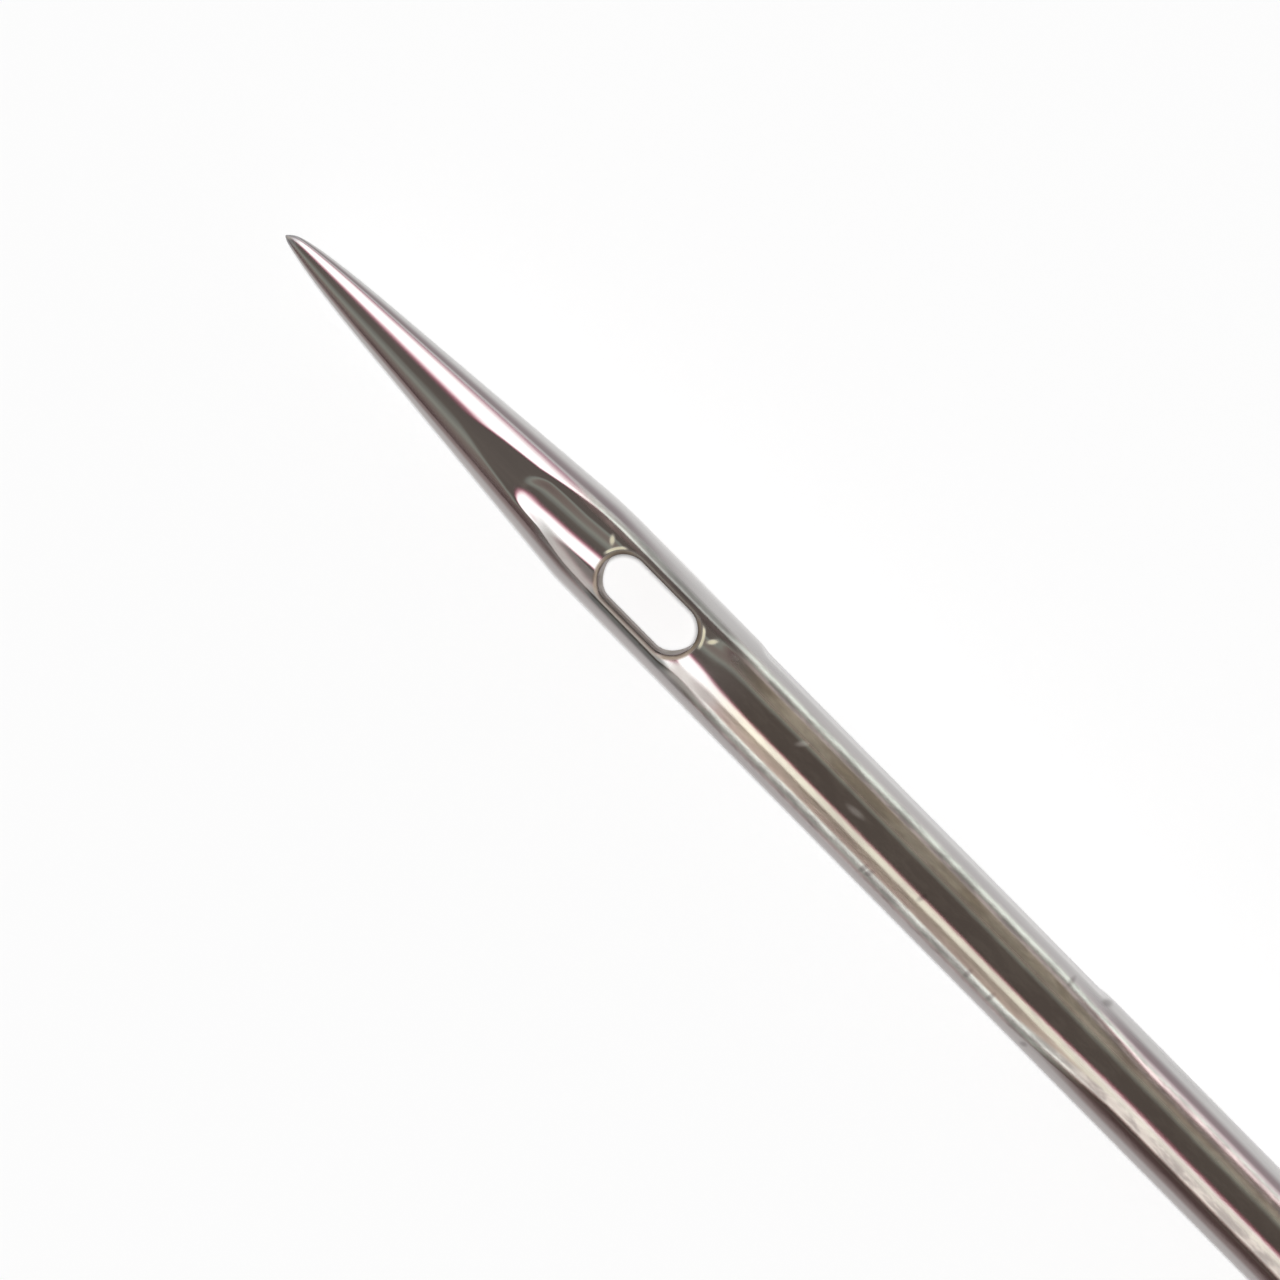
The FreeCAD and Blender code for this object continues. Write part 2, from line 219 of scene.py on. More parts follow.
# Painted shade on the eye's wall and rim, and a painted highlight round the eye's ends.
EYE_WALL_PAINTED_SHADE = (0.2, 0.14, 0.13)
EYE_RIM_PAINTED_SHADE = (0.3, 0.25, 0.2)
EYE_RIM_PAINTED_HIGHLIGHT = (0.85, 0.8, 0.6)
SCRATCH = (0.85, 0.82, 0.78)
TICK = (0.12, 0.1, 0.1)
TIP = (0.3, 0.29, 0.3)

# Where the looks of the material begin and end, each edge a pair for a smooth step: heights and
# places across first, then stations, then distances out from the eye's edge.
FRONT_EDGE = (0.0, 0.05)
SIDES_MEET = (-0.01, 0.01)
LOW_WALL_EDGE = (0.05, 0.12)
HIGH_WALL_EDGE = (0.09, 0.17)
HIGH_WALL_END = (0.23, 0.26)
HIGH_CREST = (0.25, 0.275)
LOW_CREST = (-0.3, -0.265)
TIP_END = (0.04, 0.16)
GROOVE_BEGINS = (4.8, 5.5)
BLADE_BEGINS = (4.4, 5.4)
BLADE_LIP = ((4.7, 5.3), (8.6, 9.3))
# Where the brighter painted highlight on the low wall fades.
BRIGHT_LOW_WALL_END = (5.2, 6.6)
# Where the lips get painted shade beside the eye.
BY_EYE = ((3.3, 4.1), (4.7, 5.2))
BY_EYE_LOW = ((2.8, 3.1), (4.5, 4.8))
PAINTED_LIGHT_CHANGES = (3.9, 4.4)
RIM_BEGINS = (0.0, 0.008)
RIM_ENDS = (0.025, 0.05)
RIM_STRONGER = (0.06, 0.12)
# Where the painted highlight round the eye's ends lies.
PALE_RING = ((0.036, 0.048), (0.056, 0.076))
PALE_SIDE = ((0.02, 0.08), (0.18, 0.22))

# Noises of the plating: scale, detail, roughness and how far drawn out along the needle.
STREAKS = (9.0, 3.0, 0.55, 14)
CLOUDS = (1.6, 2.0, 0.5, 1.6)
BLOTCHES = (3.6, 3.0, 0.6, 1.8)
GRAIN = (11.0, 3.0, 0.65, 3)
PITS = (14.0, 3.0, 0.6, 2.2)
NOISE_STEP = (0.35, 0.65)
BLOTCH_STEP = (0.36, 0.62)

# How strong each look is: shares of a tone, loss of metal and added roughness. Of nicks and
# specks, the step of the grain and the share at its low end.
HIGH_WALL_FAR = 0.6
BY_EYE_SHARE = 0.6
BY_EYE_LOW_SHARE = 1.2
LIP_NICKS = ((0.35, 0.62), 0.35)
GROOVE_SPECKS = ((0.4, 0.65), 0.2)
RIM_STRAIGHT_SHARE = 0.5
SCRATCH_SHARE = 0.3
TICK_SHARE = 0.5
DULL_HIGH_WALL = 0.3
DULL_BLADE_LIP = 0.35
DULL_RIM = 0.5
DULL_PALE = 0.8
DULL_SCRATCH = 0.2
DULL_PAINTED_LIGHT = 0.45
DULL_TIP = 0.4
ROUGH_STEEL = (0.15, 0.2)
ROUGH_STREAKS = (0.3, 0.7)
ROUGH_BLADE = 0.12
ROUGH_LOW_WALL = 0.1
ROUGH_HIGH_WALL = 0.22
ROUGH_LIP = 0.22
ROUGH_EYE_WALL = 0.25
ROUGH_RIM = 0.5
BUMP_STREAKS = 0.4
BUMP_PITS = 0.5
BUMP_HEIGHT = 0.0000025

# Single marks: station and across of the middle, slant in degrees, half length, half width.
MARK_EDGE = (0.2, 1.0)
# The hooks are painted highlights beside the eye's ends, on the high side.
PAINTED_HIGHLIGHT_HOOKS = ((3.575, 0.165, 128, 0.065, 0.032), (4.712, 0.162, 52, 0.07, 0.032))
LIGHT_SCRATCH = (5.8, 0.095, 52, 0.095, 0.036)
SMEAR = (6.48, 0.005, 6, 0.13, 0.04)
SMEAR_SHARE = 0.8
DARK_SPECK = (8.736, -0.335, 35, 0.05, 0.035)
TICK_SIZE = (0.065, 0.034)
TICKS = (
    (6.84, -0.25, 75),
    (6.9, -0.245, 60),
    (7.34, -0.1, 70),
    (8.02, -0.245, 80),
    (8.28, -0.25, 78),
    (8.64, 0.3, 95),
    (8.97, 0.37, 20),
)

# The studio's light around the needle's axis: an angle in degrees from straight up, turning to
# the high side, and the tone that the needle reflects from there.
STUDIO = (
    (-180, (0.60, 0.60, 0.60)),
    (-99, (0.36, 0.28, 0.27)),
    (-80, (0.21, 0.145, 0.14)),
    (-62, (0.33, 0.27, 0.24)),
    (-46, (0.42, 0.43, 0.38)),
    (-32, (0.31, 0.31, 0.28)),
    (-20, (0.20, 0.17, 0.15)),
    (6, (0.18, 0.155, 0.14)),
    (14, (0.30, 0.15, 0.17)),
    (21, (0.90, 0.40, 0.50)),
    (28, (1.9, 1.4, 1.5)),
    (33, (2.2, 2.2, 2.2)),
    (70, (2.2, 2.2, 2.2)),
    (77, (1.7, 1.35, 1.4)),
    (85, (0.9, 0.55, 0.65)),
    (93, (0.6, 0.38, 0.45)),
    (104, (0.55, 0.42, 0.47)),
    (118, (0.6, 0.56, 0.62)),
    (141, (0.75, 0.75, 0.77)),
    (180, (0.60, 0.60, 0.60)),
)
END_LIGHT = (1.5, 1.4, 1.15)
END_LIGHT_SHARE = 0.8
END_LIGHT_BEGINS = (0.7, 0.92)
PLAIN_LIGHT = 0.13
LAMP_STRENGTH = 2.75
LAMP_SPREAD = math.radians(4)
PAPER = (0.98, 0.98, 0.98)
PAPER_HALF = 2.0

# The photograph: its middle on the needle, the width that it shows and the needle's direction.
VIEW_X = -29.004
VIEW_Y = -0.275
VIEW_WIDTH = 10.24
VIEW_TURN = math.radians(45.4)
# The camera stands a little to the high side, so that the groove faces slightly away from it.
VIEW_ROLL = math.radians(8)
LENS = 180.0
SENSOR = 36.0
CLIP = (0.001, 10)


def soft_min(a, b, width):
    """The lower of two heights, rounded where they differ by less than the width."""
    share = np.clip(0.5 + 0.5 * (b - a) / width, 0, 1)
    return b * (1 - share) + a * share - width * share * (1 - share)


def soft_max(a, b, width):
    return -soft_min(-a, -b, width)


def ramp(low, high, value):
    """0 below low, 1 above high, and a smooth step between them."""
    t = np.clip((value - low) / (high - low), 0, 1)
    return t * t * (3 - 2 * t)


def between(begin, end, value):
    """A smooth step up over the first pair of values, and down again over the second."""
    return ramp(*begin, value) * (1 - ramp(*end, value))


def corner(value, start, slope, half_length):
    """A line that leaves the level at start with a slope, through a short curve."""
    run = value - start
    curve = (run + half_length) ** 2 / (4 * half_length)
    return slope * np.where(run < -half_length, 0, np.where(run > half_length, run, curve))


def round_height(radius, across):
    """Height of a circle's upper half at a distance across, 0 beyond its radius."""
    return np.sqrt(np.maximum(radius**2 - across**2, 0))


def outer_radius(station, blend):
    """Radius of the turned blank: point, blade, shoulder and shank."""
    ogive = OGIVE_FACTOR * np.sqrt(np.maximum(station, 0))
    nub = 1 - NUB_PINCH * np.exp(-((station / NUB_LENGTH) ** 2))
    taper = OGIVE_R + TAPER * (station - OGIVE_END)
    point = np.where(station < OGIVE_END, ogive * nub, taper)
    blade = soft_min(point, np.full_like(station, BLADE_R), blend * TAPER)
    blade = np.where(station > POINT_SETTLED, BLADE_R, blade)
    shoulder = corner(station, CONE_START, CONE_SLOPE, CONE_BLEND)
    over = corner(station, SHANK_START, CONE_SLOPE, SHANK_BLEND)
    bevel = np.maximum(station - (NEEDLE_LENGTH - BUTT_BEVEL), 0)
    return blade + shoulder - over - bevel


def past_straight(station):
    """How far a station lies beyond the straight part of the eye."""
    return np.maximum(np.abs(station - EYE_STATION) - EYE_STRAIGHT, 0)


def eye_half_width(station, flare):
    """Half the eye's width at a station. The flare makes it wider, as at the back."""
    return round_height(EYE_HALF_WIDTH, past_straight(station)) * (1 + flare / EYE_HALF_WIDTH)


def rim_drop(station, across, flare):
    """How far the rounded rim of the eye falls below the surface."""
    away = np.hypot(past_straight(station), across / (1 + flare / EYE_HALF_WIDTH)) - EYE_HALF_WIDTH
    return EYE_RIM - round_height(EYE_RIM, EYE_RIM - np.clip(away, 0, EYE_RIM))


def throat_height(station, across, radius):
    """Height of the front along the throat: the blank, the flat land and the bowl in the land."""
    land = np.interp(station, LAND_STATIONS, LAND_HEIGHTS)
    start = np.interp(station, RISE_STATIONS, RISE_STARTS)
    land = land + corner(-across, start, np.interp(station, RISE_STATIONS, RISE_SLOPES), RISE_BEND)
    edge = np.interp(station, LAND_EDGE_STATIONS, LAND_EDGES)
    top = soft_min(round_height(radius, across), land, edge)
    off = across - np.interp(station, BOWL_STATIONS, BOWL_SHIFTS)
    side = ramp(-BOWL_MIDDLE, BOWL_MIDDLE, off)
    low, high = [run * np.maximum(start - station, 0) for start, run in zip(BOWL_STARTS, BOWL_RUN_INS)]
    away = np.hypot(low * (1 - side) + high * side, off)
    bowl = BOWL_FLOOR + BOWL_R - round_height(BOWL_R, np.minimum(away, BOWL_ROUND))
    bowl = bowl + BOWL_SLOPE * np.maximum(away - BOWL_ROUND, 0)
    return soft_min(top, bowl, BOWL_EDGE)


def groove_height(station, across, radius):
    """Height of the front along the groove: floor, corner, straight wall, rounded lip and blank.

    The lip is an arc that touches the blank from inside, and below it the wall, the corner or,
    where the groove is shallow, the floor."""
    floor = np.interp(station, HOLLOW_STATIONS, HOLLOW_FLOORS)
    run = np.clip(station - RUNOUT_START, 0, RUNOUT_ROUND)
    floor = floor + RUNOUT_R - np.sqrt(RUNOUT_R**2 - run**2)
    floor = floor + np.maximum(station - RUNOUT_START - RUNOUT_ROUND, 0)
    flat = np.interp(station, HOLLOW_STATIONS, HOLLOW_FLATS)
    flat = flat + np.sign(across) * np.interp(station, HOLLOW_STATIONS, HOLLOW_SHIFTS)
    bend = np.interp(station, HOLLOW_STATIONS, HOLLOW_CORNERS)
    lip = np.interp(station, HOLLOW_STATIONS, HOLLOW_LIPS)
    slant = np.radians(np.interp(station, HOLLOW_STATIONS, HOLLOW_WALLS))
    side = np.abs(across)
    reach = radius - lip
    # The lip on the floor.
    low_z = floor - lip
    low_y = np.sqrt(np.maximum(reach**2 - low_z**2, 0))
    # The lip on the corner: both circles' centres are as far apart as their radii together.
    centre_z = floor + bend
    apart = np.hypot(flat, centre_z)
    along = (reach**2 - (bend + lip) ** 2 + apart**2) / (2 * apart)
    off = np.sqrt(np.maximum(reach**2 - along**2, 0))
    mid_y = (along * flat + off * centre_z) / apart
    mid_z = (along * centre_z - off * flat) / apart
    steep = np.arctan2(mid_y - flat, centre_z - mid_z)
    # The lip on the wall.
    sine, cosine = np.sin(slant), np.cos(slant)
    foot_y = flat + bend * sine
    foot_z = floor + bend * (1 - cosine)
    start_y, start_z = foot_y + lip * sine, foot_z - lip * cosine
    half = start_y * cosine + start_z * sine
    rise = -half + np.sqrt(np.maximum(half**2 + reach**2 - start_y**2 - start_z**2, 0))
    high_y, high_z = start_y + rise * cosine, start_z + rise * sine
    on_floor = low_y <= flat
    on_wall = ~on_floor & (steep > slant)

    def pick(low, high, mid):
        return np.where(on_floor, low, np.where(on_wall, high, mid))

    lip_y = pick(low_y, high_y, mid_y)
    lip_z = pick(low_z, high_z, mid_z)
    touch = pick(low_y, high_y - lip * sine, flat + bend * np.sin(steep))
    leave = lip_y * radius / reach
    blank = round_height(radius, side)
    rounded = lip_z + round_height(lip, side - lip_y)
    curve = floor + bend - round_height(bend, np.maximum(side - flat, 0))
    wall = foot_z + (side - foot_y) * np.tan(slant)
    curve = np.where(side > foot_y, wall, curve)
    level = np.where(side >= leave, blank, np.where(side >= touch, rounded, curve))
    return np.where(floor < radius, level, blank)


def front_height(station, across, radius):
    """Height of the front with its throat, its long groove and the eye's rounded rim."""
    share = ramp(*THROAT_END, station)
    throat = throat_height(station, across, radius)
    groove = groove_height(np.maximum(station, THROAT_END[0]), across, radius)
    return throat * (1 - share) + groove * share - rim_drop(station, across, 0)


def back_height(station, across, radius):
    """Height of the back: the round blank less the shank's flat, the scarf and the short groove."""
    blank = -round_height(radius, across)
    flat = soft_max(blank, np.full_like(blank, FLAT_HEIGHT), FLAT_EDGE)
    back = np.where(station > CONE_START, flat, blank)
    full = SCARF_START + math.sqrt(SCARF_HOLLOW_R**2 - (SCARF_HOLLOW_R - SCARF_DEPTH) ** 2)
    before = np.clip(full - station, 0, SCARF_HOLLOW_REACH)
    hollow = SCARF_HOLLOW_R - np.sqrt(SCARF_HOLLOW_R**2 - before**2)
    slope = SCARF_DEPTH / (SCARF_END - SCARF_SLOPE_START)
    scarf = SCARF_FLOOR - hollow - np.maximum(station - SCARF_SLOPE_START, 0) * slope
    near = (station > SCARF_START - SCARF_MARGIN) & (station < SCARF_END + SCARF_MARGIN)
    back = soft_max(back, np.where(near, scarf, NO_CUT), BACK_EDGE)
    side = np.abs(across)
    short = BACK_GROOVE_TOP - BACK_GROOVE_R
    short = short + round_height(BACK_GROOVE_R, np.minimum(side, BACK_GROOVE_ROUND))
    short = short - BACK_GROOVE_SLOPE * np.maximum(side - BACK_GROOVE_ROUND, 0)
    near = (station > BACK_GROOVE_START) & (station < full)
    back = soft_max(back, np.where(near, short, NO_CUT), BACK_EDGE)
    return back + rim_drop(station, across, EYE_FLARE)


def on_lip(station, across):
    """1 along the rounded lips of the hollow, fading to both sides."""
    high = np.interp(station, CREST_STATIONS, CREST_HIGH)
    low = np.interp(station, CREST_STATIONS, CREST_LOW)
    off = np.where(across > 0, across - high, -across - low)
    crest = np.clip(CREST_PEAK * (1 - (off / CREST_WIDTH) ** 2), 0, 1)
    return ramp(*CREST_BEGINS, station) * crest


def painted_side_shade_amount(station, across, radius):
    """Painted shade: how much darker the round sides are beyond the lips, for their darker
    reflections.
    """
    angle = np.degrees(np.arcsin(np.clip(across / radius, -1, 1)))
    far = ramp(*SHALLOW, station)

    def band(near_edges, far_edges, weaker, turned):
        low, high, loss = weaker
        edges = [[a + (b - a) * far for a, b in zip(*pair)] for pair in zip(near_edges, far_edges)]
        return between(*edges, turned) * (1 - loss * ramp(low, high, station) * (1 - far))

    high = band(BAND_HIGH, BAND_HIGH_FAR, BAND_HIGH_WEAKER, angle)
    low = band(BAND_LOW, BAND_LOW_FAR, BAND_LOW_WEAKER, -angle)
    low = np.maximum(low, sum(amount * ramp(*edges, -angle) for edges, amount in LOW_SIDE_PAINTED_SHADES))
    return np.where(across > 0, high, low)


def row_stations():
    """Stations of the mesh rows."""
    eye_start = EYE_STATION - EYE_HALF_LENGTH
    eye_end = EYE_STATION + EYE_HALF_LENGTH
    tip = TIP_STEP * np.arange(1, TIP_ROWS + 1) ** 2.0
    spans = [np.arange(start, end, step) for start, end, step in ROW_SPANS]
    plain = np.concatenate([tip, *spans, [NEEDLE_LENGTH - BUTT_BEVEL, NEEDLE_LENGTH]])
    clear = EYE_RIM + EYE_RIM_GAP
    outside = (plain < eye_start - clear) | (plain > eye_end + clear)
    clear = EYE_HALF_WIDTH + EYE_ARC_GAP
    middle = (plain > eye_start + clear) & (plain < eye_end - clear)
    arc = EYE_HALF_WIDTH * (1 - np.cos(np.linspace(0, math.pi / 2, EYE_ARC_ROWS)))
    rim = EYE_RIM * (1 - np.cos(np.linspace(0, math.pi / 2, EYE_RIM_ROWS)))[1:]
    ends = [eye_start + arc, eye_start - rim, eye_end - arc, eye_end + rim]
    return np.unique(np.round(np.concatenate([plain[outside | middle], *ends]), 6))


def columns(stations, radius, side, height, count, front):
    """Points from the needle's middle, or the eye's edge, out to the silhouette on one side.

    They lie closer together where the section turns."""
    inner = eye_half_width(stations, 0 if front else EYE_FLARE)
    start = np.arcsin(np.clip(inner / radius, 0, 1))
    share = np.linspace(0, 1, DENSE)
    if front:
        share = share**DENSE_POWER
    angle = start[:, None] + (math.pi / 2 - start)[:, None] * share[None, :]
    across = radius[:, None] * np.sin(angle)
    level = height(stations[:, None] + 0 * across, side * across, radius[:, None] + 0 * across)
    level[:, -1] = 0
    step_y = np.diff(across, axis=1)
    step_z = np.diff(level, axis=1)
    turn = np.unwrap(np.arctan2(step_z, step_y), axis=1)
    bend = np.abs(np.diff(turn, axis=1, prepend=turn[:, :1]))
    scale = np.minimum(radius / BLADE_R, 1.0)[:, None]
    length = np.hypot(step_y, step_z) + TURN_WEIGHT * scale * bend
    total = np.concatenate([np.zeros((len(stations), 1)), np.cumsum(length, axis=1)], axis=1)
    out_y = np.empty((len(stations), count + 1))
    for row in range(len(stations)):
        wanted = np.linspace(0, total[row, -1], count + 1)
        out_y[row] = radius[row] * np.sin(np.interp(wanted, total[row], angle[row]))
    out_y[:, 0] = inner
    out_y[:, -1] = radius
    wide = out_y * 0
    out_z = height(stations[:, None] + wide, side * out_y, radius[:, None] + wide)
    out_z[:, -1] = 0
    return side * out_y, out_z


def relieved(stations, across):
    """The high side of the blade is a little flatter along the scarf."""
    begin = (RELIEF_START - RELIEF_RAMP, RELIEF_START)
    end = (RELIEF_END, RELIEF_END + RELIEF_RAMP)
    lift = RELIEF_RISE * (1 - ramp(*begin, stations)) + RELIEF_RISE * ramp(*end, stations)
    limit = RELIEF_ACROSS + lift[:, None] + 0 * across
    near = (stations[:, None] > begin[0]) & (stations[:, None] < end[1])
    return np.where(near, soft_min(across, limit, RELIEF_EDGE), across)


class Skin:
    """Points and faces of the mesh while it is built. A point is a station, across and height."""

    def __init__(self):
        self.blocks = []
        self.count = 0
        self.faces = []

    def add(self, block):
        """Add points and give their numbers."""
        numbers = np.arange(len(block)) + self.count
        self.blocks.append(block)
        self.count += len(block)
        return numbers

    def points(self):
        return np.concatenate(self.blocks)

    def cover(self, grid, flip):
        """Four-sided faces between the rows of a grid of point numbers."""
        for a, b in zip(grid, grid[1:]):
            for col in range(len(a) - 1):
                quad = [a[col], b[col], b[col + 1], a[col + 1]]
                self.faces.append(quad[::-1] if flip else quad)


def outer_grids(skin, stations, shift):
    """Points of the front and the back on both sides, with shared numbers where they meet."""
    grids = {}
    faces = (("front", front_height, FRONT_COLUMNS), ("back", back_height, BACK_COLUMNS))
    sides = (("high", 1, POINT_BLEND_HIGH), ("low", -1, POINT_BLEND_LOW))
    for face, height, count in faces:
        for side, sign, blend in sides:
            radius = outer_radius(stations, blend)
            across, level = columns(stations, radius, sign, height, count, face == "front")
            if side == "high":
                across = relieved(stations, across)
            across = across + shift[:, None]
            block = np.stack([stations[:, None] + 0 * across, across, level], axis=2)
            grids[face, side] = skin.add(block.reshape(-1, 3)).reshape(across.shape)
    closed = eye_half_width(stations, 0) < EYE_CLOSED
    for face in ("front", "back"):
        grids[face, "low"][closed, 0] = grids[face, "high"][closed, 0]
    for side in ("high", "low"):
        grids["back", side][:, -1] = grids["front", side][:, -1]
    return grids, closed


def eye_walls(skin, grids, closed):
    """Walls of the eye on both sides, from the front's edge to the back's."""
    open_rows = np.flatnonzero(~closed)
    rows = np.arange(open_rows[0] - 1, open_rows[-1] + 2)
    surface = skin.points()
    walls = {}
    for side in ("high", "low"):
        top = grids["front", side][rows, 0]
        bottom = grids["back", side][rows, 0]
        steps = [top]
        for part in np.arange(1, EYE_WALL_STEPS) / EYE_WALL_STEPS:
            steps.append(skin.add(surface[top] * (1 - part) + surface[bottom] * part))
        walls[side] = np.stack(steps + [bottom], axis=1)
    for end in (0, -1):
        walls["low"][end] = walls["high"][end]
    skin.cover(walls["high"], True)
    skin.cover(walls["low"], False)


def ring(grids, row):
    """The numbers of one row's points, once round the needle."""
    once = list(grids["front", "high"][row])
    once += list(grids["back", "high"][row][::-1][1:])
    once += list(grids["back", "low"][row][1:])
    once += list(grids["front", "low"][row][::-1][1:-1])
    return once


def paint(mesh, station, across, height):
    """Values at the mesh's points for the material: in the hollow, on a lip, and so on."""
    radius = outer_radius(station, POINT_BLEND_LOW)
    depth = round_height(radius, across) - height
    inside = np.where((height > 0) & (np.abs(across) < HOLLOW_WIDTH), ramp(*HOLLOW_DEPTH, depth), 0)
    lips = np.where(height > 0, on_lip(station, across), 0)
    # Painted light: lighter, duller patches on the low side of the land beside the throat.
    painted_light_patch = sum(between(begin, end, station) * ramp(*edge, across) for begin, end, edge in PAINTED_LIGHT_PATCHES)
    painted_light_patch = np.where(height > 0, painted_light_patch * ramp(*PAINTED_LIGHT_OUTER, across), 0)
    # The eye's wall, which gets painted shade.
    wall = ramp(*EYE_WALL_NEAR, np.abs(np.abs(across) - eye_half_width(station, EYE_FLARE / 2)))
    low, high = EYE_WALL_HEIGHTS
    wall = np.where((height > low) & (height < high) & (eye_half_width(station, 0) > 0), wall, 0)
    # Painted shade on the round sides, outside the hollow and partly off the lips.
    painted_side_shade = painted_side_shade_amount(station, across, radius) * (1 - inside)
    painted_side_shade = painted_side_shade * (1 - lips * (1 - ramp(*SHALLOW, station)))
    layers = (("hollow", inside), ("lip", lips), ("wall", wall), ("painted_side_shade", painted_side_shade), ("painted_light_patch", painted_light_patch))
    for name, values in layers:
        layer = mesh.attributes.new(name, "FLOAT", "POINT")
        layer.data.foreach_set("value", values.astype(np.float32))


def build_needle():
    """One closed mesh of the whole needle."""
    skin = Skin()
    stations = row_stations()
    shift = BURR_SHIFT * np.exp(-((stations / BURR_LENGTH) ** BURR_POWER))
    grids, closed = outer_grids(skin, stations, shift)
    for (face, side), grid in grids.items():
        skin.cover(grid, (face == "front") != (side == "high"))
    eye_walls(skin, grids, closed)
    tip = skin.add(np.array([[0.0, shift[0] * BURR_TIP, 0.0]]))[0]
    first = ring(grids, 0)
    for a, b in zip(first, first[1:] + first[:1]):
        skin.faces.append([tip, a, b])
    skin.faces.append(ring(grids, -1)[::-1])

    # Only the points that faces use go into the mesh.
    points = (skin.points() + (TIP_X, 0, AXIS_Z)) * MM
    used = np.unique(np.concatenate(skin.faces))
    renumber = np.full(len(points), -1)
    renumber[used] = np.arange(len(used))
    points = points[used]
    mesh = bpy.data.meshes.new("needle_skin")
    mesh.from_pydata(points.tolist(), [], [renumber[face].tolist() for face in skin.faces])
    mesh.validate(verbose=True)
    mesh.update()
    x, y, z = (points * MM_PER_M).T
    paint(mesh, x - TIP_X, y, z - AXIS_Z)
    mesh.shade_smooth()
    mesh.set_sharp_from_angle(angle=SHARP_ANGLE)
    obj = bpy.data.objects.new("needle_skin", mesh)
    bpy.context.scene.collection.objects.link(obj)
    return obj


def colour(tone):
    return (*tone, 1)


class Graph:
    """Short forms for building a node tree. A value is a socket or a plain number."""

    def __init__(self, tree):
        self.tree = tree
        self.nodes = tree.nodes
        self.links = tree.links

    def put(self, socket, value):
        if isinstance(value, bpy.types.NodeSocket):
            self.links.new(value, socket)
        else:
            socket.default_value = value

    def node(self, kind, **settings):
        made = self.nodes.new(kind)
        for name, value in settings.items():
            setattr(made, name, value)
        return made

    def math(self, operation, a, b=0.0):
        made = self.node("ShaderNodeMath", operation=operation)
        self.put(made.inputs[0], a)
        self.put(made.inputs[1], b)
        return made.outputs[0]

    def times(self, a, *factors):
        for b in factors:
            a = self.math("MULTIPLY", a, b)
        return a

    def plus(self, a, b):
        return self.math("ADD", a, b)

    def minus(self, a, b):
        return self.math("SUBTRACT", a, b)

    def most(self, a, b):
        return self.math("MAXIMUM", a, b)

    def length(self, a, b):
        return self.math("SQRT", self.plus(self.times(a, a), self.times(b, b)))

    def step(self, value, low, high, out_low=0.0, out_high=1.0):
        """A smooth step of the value, from out_low to out_high."""
        made = self.node("ShaderNodeMapRange", interpolation_type="SMOOTHSTEP")
        self.put(made.inputs["Value"], value)
        ends = {"From Min": low, "From Max": high, "To Min": out_low, "To Max": out_high}
        for name, number in ends.items():
            made.inputs[name].default_value = number
        return made.outputs["Result"]

    def fade(self, value, low, high):
        """A smooth step down, from 1 to 0."""
        return self.step(value, low, high, 1.0, 0.0)

    def between(self, value, begin, end):
        """A smooth step up over the first pair of values, and down again over the second."""
        return self.times(self.step(value, *begin), self.fade(value, *end))

    def mix(self, share, a, b, blend="MIX"):
        """A mix of two tones, each a socket or three numbers."""
        made = self.node("ShaderNodeMix", data_type="RGBA", blend_type=blend)
        self.put(made.inputs["Factor"], share)
        for name, tone in (("A", a), ("B", b)):
            self.put(made.inputs[name], colour(tone) if isinstance(tone, tuple) else tone)
        return made.outputs["Result"]

    def tint(self, share, base, tone):
        """The base, times the tone where the share is 1."""
        return self.mix(share, base, self.mix(1.0, base, tone, "MULTIPLY"))

    def noise(self, where, scale, detail, rough, stretch):
        """Noise in the needle's own millimetres, drawn out along the needle by the stretch."""
        spread = self.node("ShaderNodeMapping")
        self.links.new(where, spread.inputs["Vector"])
        spread.inputs["Scale"].default_value = [MM_PER_M / stretch, MM_PER_M, MM_PER_M]
        made = self.node("ShaderNodeTexNoise")
        self.links.new(spread.outputs[0], made.inputs["Vector"])
        made.inputs["Scale"].default_value = scale
        made.inputs["Detail"].default_value = detail
        made.inputs["Roughness"].default_value = rough
        return made.outputs["Fac"]

    def mark(self, station, across, place):
        """A short straight mark: 1 on its middle line, 0 past its width, its ends faded."""
        middle, side, slant, half_length, half_width = place
        x = self.minus(station, middle)
        y = self.minus(across, side)
        cosine, sine = math.cos(math.radians(slant)), math.sin(math.radians(slant))
        along = self.plus(self.times(x, cosine), self.times(y, sine))
        off = self.minus(self.times(y, cosine), self.times(x, sine))
        far = self.length(
            self.math("DIVIDE", along, half_length),
            self.math("DIVIDE", off, half_width),
        )
        return self.fade(far, *MARK_EDGE)

    def attribute(self, name):
        return self.node("ShaderNodeAttribute", attribute_name=name).outputs["Fac"]

    def glow(self, tone, strength=1.0):
        made = self.node("ShaderNodeBackground")
        self.put(made.inputs["Color"], tone)
        made.inputs["Strength"].default_value = strength
        return made.outputs[0]

    def choose(self, share, a, b):
        made = self.node("ShaderNodeMixShader")
        for socket, value in zip(made.inputs, (share, a, b)):
            self.links.new(value, socket)
        return made.outputs[0]


